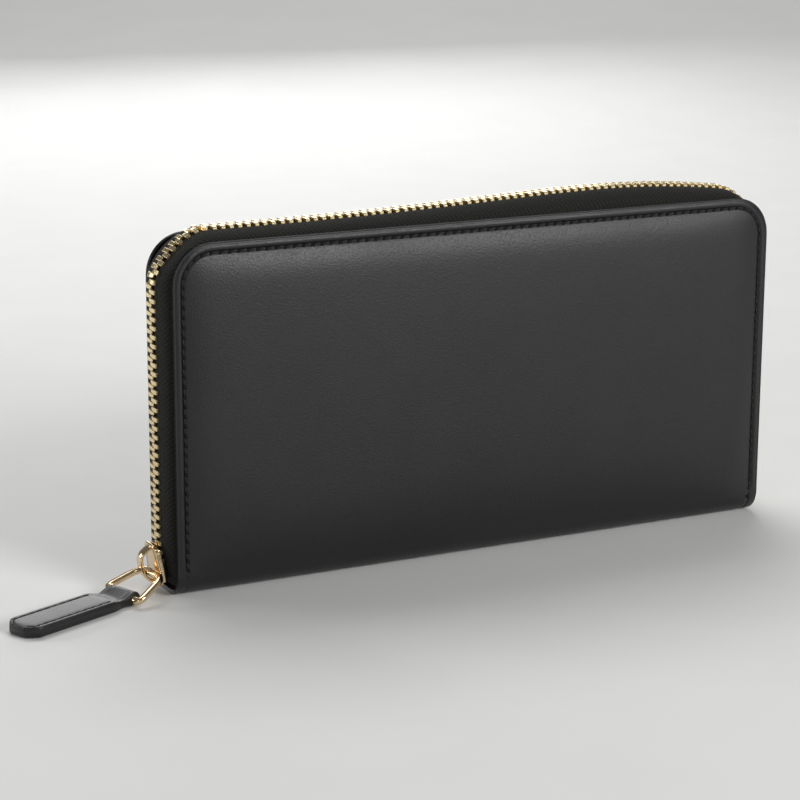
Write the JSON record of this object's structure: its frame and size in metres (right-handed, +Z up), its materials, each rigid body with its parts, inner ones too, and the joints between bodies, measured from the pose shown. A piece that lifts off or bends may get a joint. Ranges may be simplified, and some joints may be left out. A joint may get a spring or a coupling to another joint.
{
  "type": "zip around wallet",
  "caption": "Long black leather wallet with padded covers on a folded spine, closed on three sides by a gold metal zip with a leather pull; card, note and zipped coin pockets inside.",
  "frame": {"origin": "middle of the spine's flat underside, on which the wallet stands", "axes": "+X along the spine from the zip's closed end to its far end, +Y from the front cover to the rear cover, +Z up"},
  "size_m": [0.2438, 0.0355, 0.1035],
  "materials": {
    "black_leather": "smooth satin, fine grain",
    "pull_leather": "smooth satin with painted edge",
    "card_pocket_leather": "matt",
    "lining_fabric": "woven twill",
    "gusset_fabric": "woven",
    "zip_tape": "herringbone woven tape",
    "gold_metal": "polished, gold plated",
    "stiff_board": "fibreboard",
    "soft_foam": "open foam"
  },
  "bodies": {
    "rear_half": {"rear_cover": "black_leather", "spine_leather": "black_leather", "rear_padding": "soft_foam", "rear_board": "stiff_board", "rear_lining": "lining_fabric", "spine_lining": "lining_fabric", "rear_zip_tape": "zip_tape", "rear_zip_teeth": "gold_metal", "zip_end_stop": "gold_metal"},
    "front_half": {"front_cover": "black_leather", "front_padding": "soft_foam", "front_board": "stiff_board", "front_lining": "lining_fabric", "front_zip_tape": "zip_tape", "front_zip_teeth": "gold_metal", "card_panel": "lining_fabric", "card_strip_1": "card_pocket_leather", "card_strip_2": "card_pocket_leather", "card_strip_3": "card_pocket_leather", "card_strip_4": "card_pocket_leather", "front_gusset_left": "gusset_fabric", "front_gusset_right": "gusset_fabric"},
    "coin_pocket": {"coin_bag": "gusset_fabric", "coin_tape_front": "zip_tape", "coin_tape_rear": "zip_tape", "coin_teeth_front": "gold_metal", "coin_teeth_rear": "gold_metal", "coin_stop_left": "gold_metal", "coin_stop_right": "gold_metal", "rear_gusset_left": "gusset_fabric", "rear_gusset_right": "gusset_fabric"},
    "zip_slider": {"slider_body": "gold_metal", "slider_bridge": "gold_metal"},
    "loop": {"pull_loop": "gold_metal"},
    "tab": {"pull_tab": "pull_leather"},
    "coin_zip_slider": {"coin_slider": "gold_metal"},
    "coin_zip_pull": {"coin_pull": "gold_metal"}
  },
  "joints": [
    {"name": "cover_open", "type": "hinge", "parent": "rear_half", "child": "front_half", "pos_m": [0, -0.0099, 0.00315], "axis": [1, 0, 0], "range_deg": [0, 50], "deforming": ["front_zip_tape", "front_zip_teeth", "rear_zip_tape", "rear_zip_teeth", "front_gusset_left", "front_gusset_right", "rear_gusset_left", "rear_gusset_right"]},
    {"name": "coin_pocket_swing", "type": "hinge", "parent": "rear_half", "child": "coin_pocket", "pos_m": [0, -0.0099, 0.00315], "axis": [1, 0, 0], "range_deg": [0, 25]},
    {"name": "zip_slide", "type": "slide", "parent": "rear_half", "child": "zip_slider", "axis": [0, 0, 1], "range_m": [0, 0.07]},
    {"name": "loop_swing", "type": "hinge", "parent": "zip_slider", "child": "loop", "pos_m": [-0.10013, 0, 0.00634], "axis": [-0.1908, 0.9816, 0], "range_deg": [0, 60]},
    {"name": "tab_swing", "type": "hinge", "parent": "loop", "child": "tab", "pos_m": [-0.10895, -0.00416, 0.002], "axis": [-0.1908, 0.9816, 0], "range_deg": [0, 30]},
    {"name": "coin_zip_slide", "type": "slide", "parent": "coin_pocket", "child": "coin_zip_slider", "axis": [-1, 0, 0], "range_m": [0, 0.15]},
    {"name": "coin_pull_swing", "type": "hinge", "parent": "coin_zip_slider", "child": "coin_zip_pull", "pos_m": [0.07525, 0.0039, 0.0869], "axis": [0, 1, 0], "range_deg": [0, 150]}
  ],
  "couplings": [
    {"joint": "coin_pocket_swing", "follows": "cover_open", "ratio": 0.5}
  ]
}
